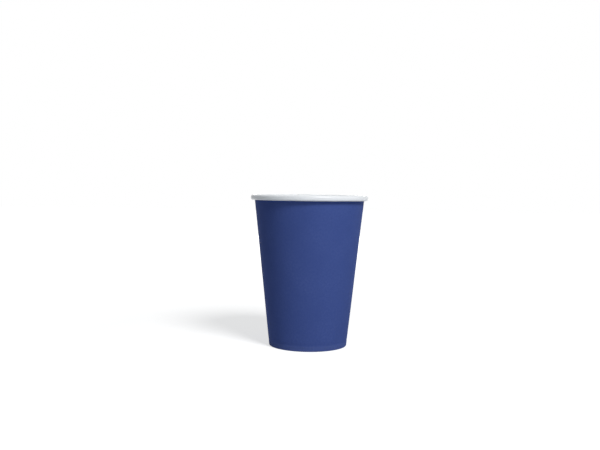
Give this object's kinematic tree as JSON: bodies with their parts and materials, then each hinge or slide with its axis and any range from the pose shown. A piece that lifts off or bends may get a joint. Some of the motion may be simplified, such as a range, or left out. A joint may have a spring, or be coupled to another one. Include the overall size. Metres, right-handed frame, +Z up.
{
  "type": "paper cup",
  "caption": "Tapered paper drinking cup: navy printed wall lapped at a side seam, white rolled rim, and a recessed base disc sealed into the folded hem of the foot.",
  "frame": {"origin": "centre of the foot, on the plane that the cup stands on", "axes": "+Z up along the cup's axis, -Y towards the picture's viewer, +Y through the outer cut edge of the side seam"},
  "size_m": [0.078, 0.078, 0.1004],
  "materials": {
    "printed_board": "matte",
    "white_board": "satin"
  },
  "bodies": {
    "root": {"side_wall": "printed_board", "base_disc": "white_board"}
  },
  "joints": []
}
